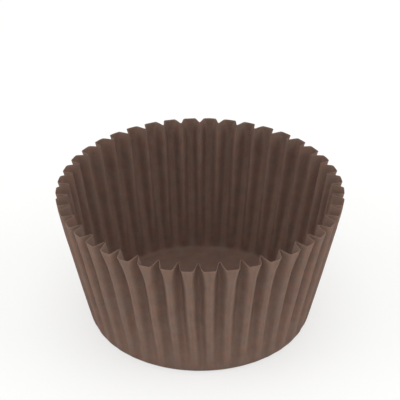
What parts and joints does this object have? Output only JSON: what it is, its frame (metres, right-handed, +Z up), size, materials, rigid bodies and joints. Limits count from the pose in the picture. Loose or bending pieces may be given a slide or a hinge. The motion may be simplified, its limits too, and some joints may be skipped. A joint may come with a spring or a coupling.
{
  "type": "cupcake liner",
  "caption": "Fluted round paper cup that lines a muffin tin: flat base, pleated wall that leans out to a wavy rim.",
  "frame": {"origin": "centre of the underside of the flat base", "axes": "+Z up through the open mouth; -Y towards the front, where a valley between two ridges lies"},
  "size_m": [0.0656, 0.0654, 0.0329],
  "materials": {
    "paper": "matte"
  },
  "bodies": {
    "root": {"paper_case": "paper"}
  },
  "joints": []
}
